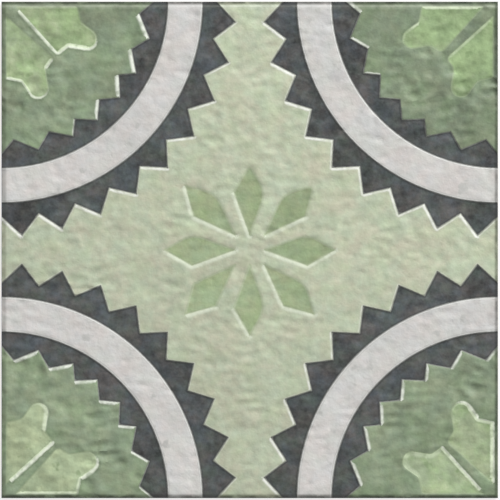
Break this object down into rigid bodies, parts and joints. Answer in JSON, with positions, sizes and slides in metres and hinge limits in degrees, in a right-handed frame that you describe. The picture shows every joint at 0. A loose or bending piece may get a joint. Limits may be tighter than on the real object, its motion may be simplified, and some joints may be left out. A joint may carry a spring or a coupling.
{
  "type": "ceramic floor tile",
  "caption": "Square pressed ceramic floor tile: matt face in low relief with ringed corners, sawtooth bands, corner leaves and a petal rosette, eased edges and a keyed back to bed in adhesive.",
  "frame": {"origin": "middle of the back, on the plane that the ribs of the back rest on", "axes": "+Z out of the patterned face, +X and +Y along the edges of the tile"},
  "size_m": [0.3, 0.3, 0.008],
  "materials": {
    "glazed_face": "matt glaze in sage, green, off-white and charcoal on a fired clay body"
  },
  "bodies": {
    "root": {"tile": "glazed_face"}
  },
  "joints": []
}
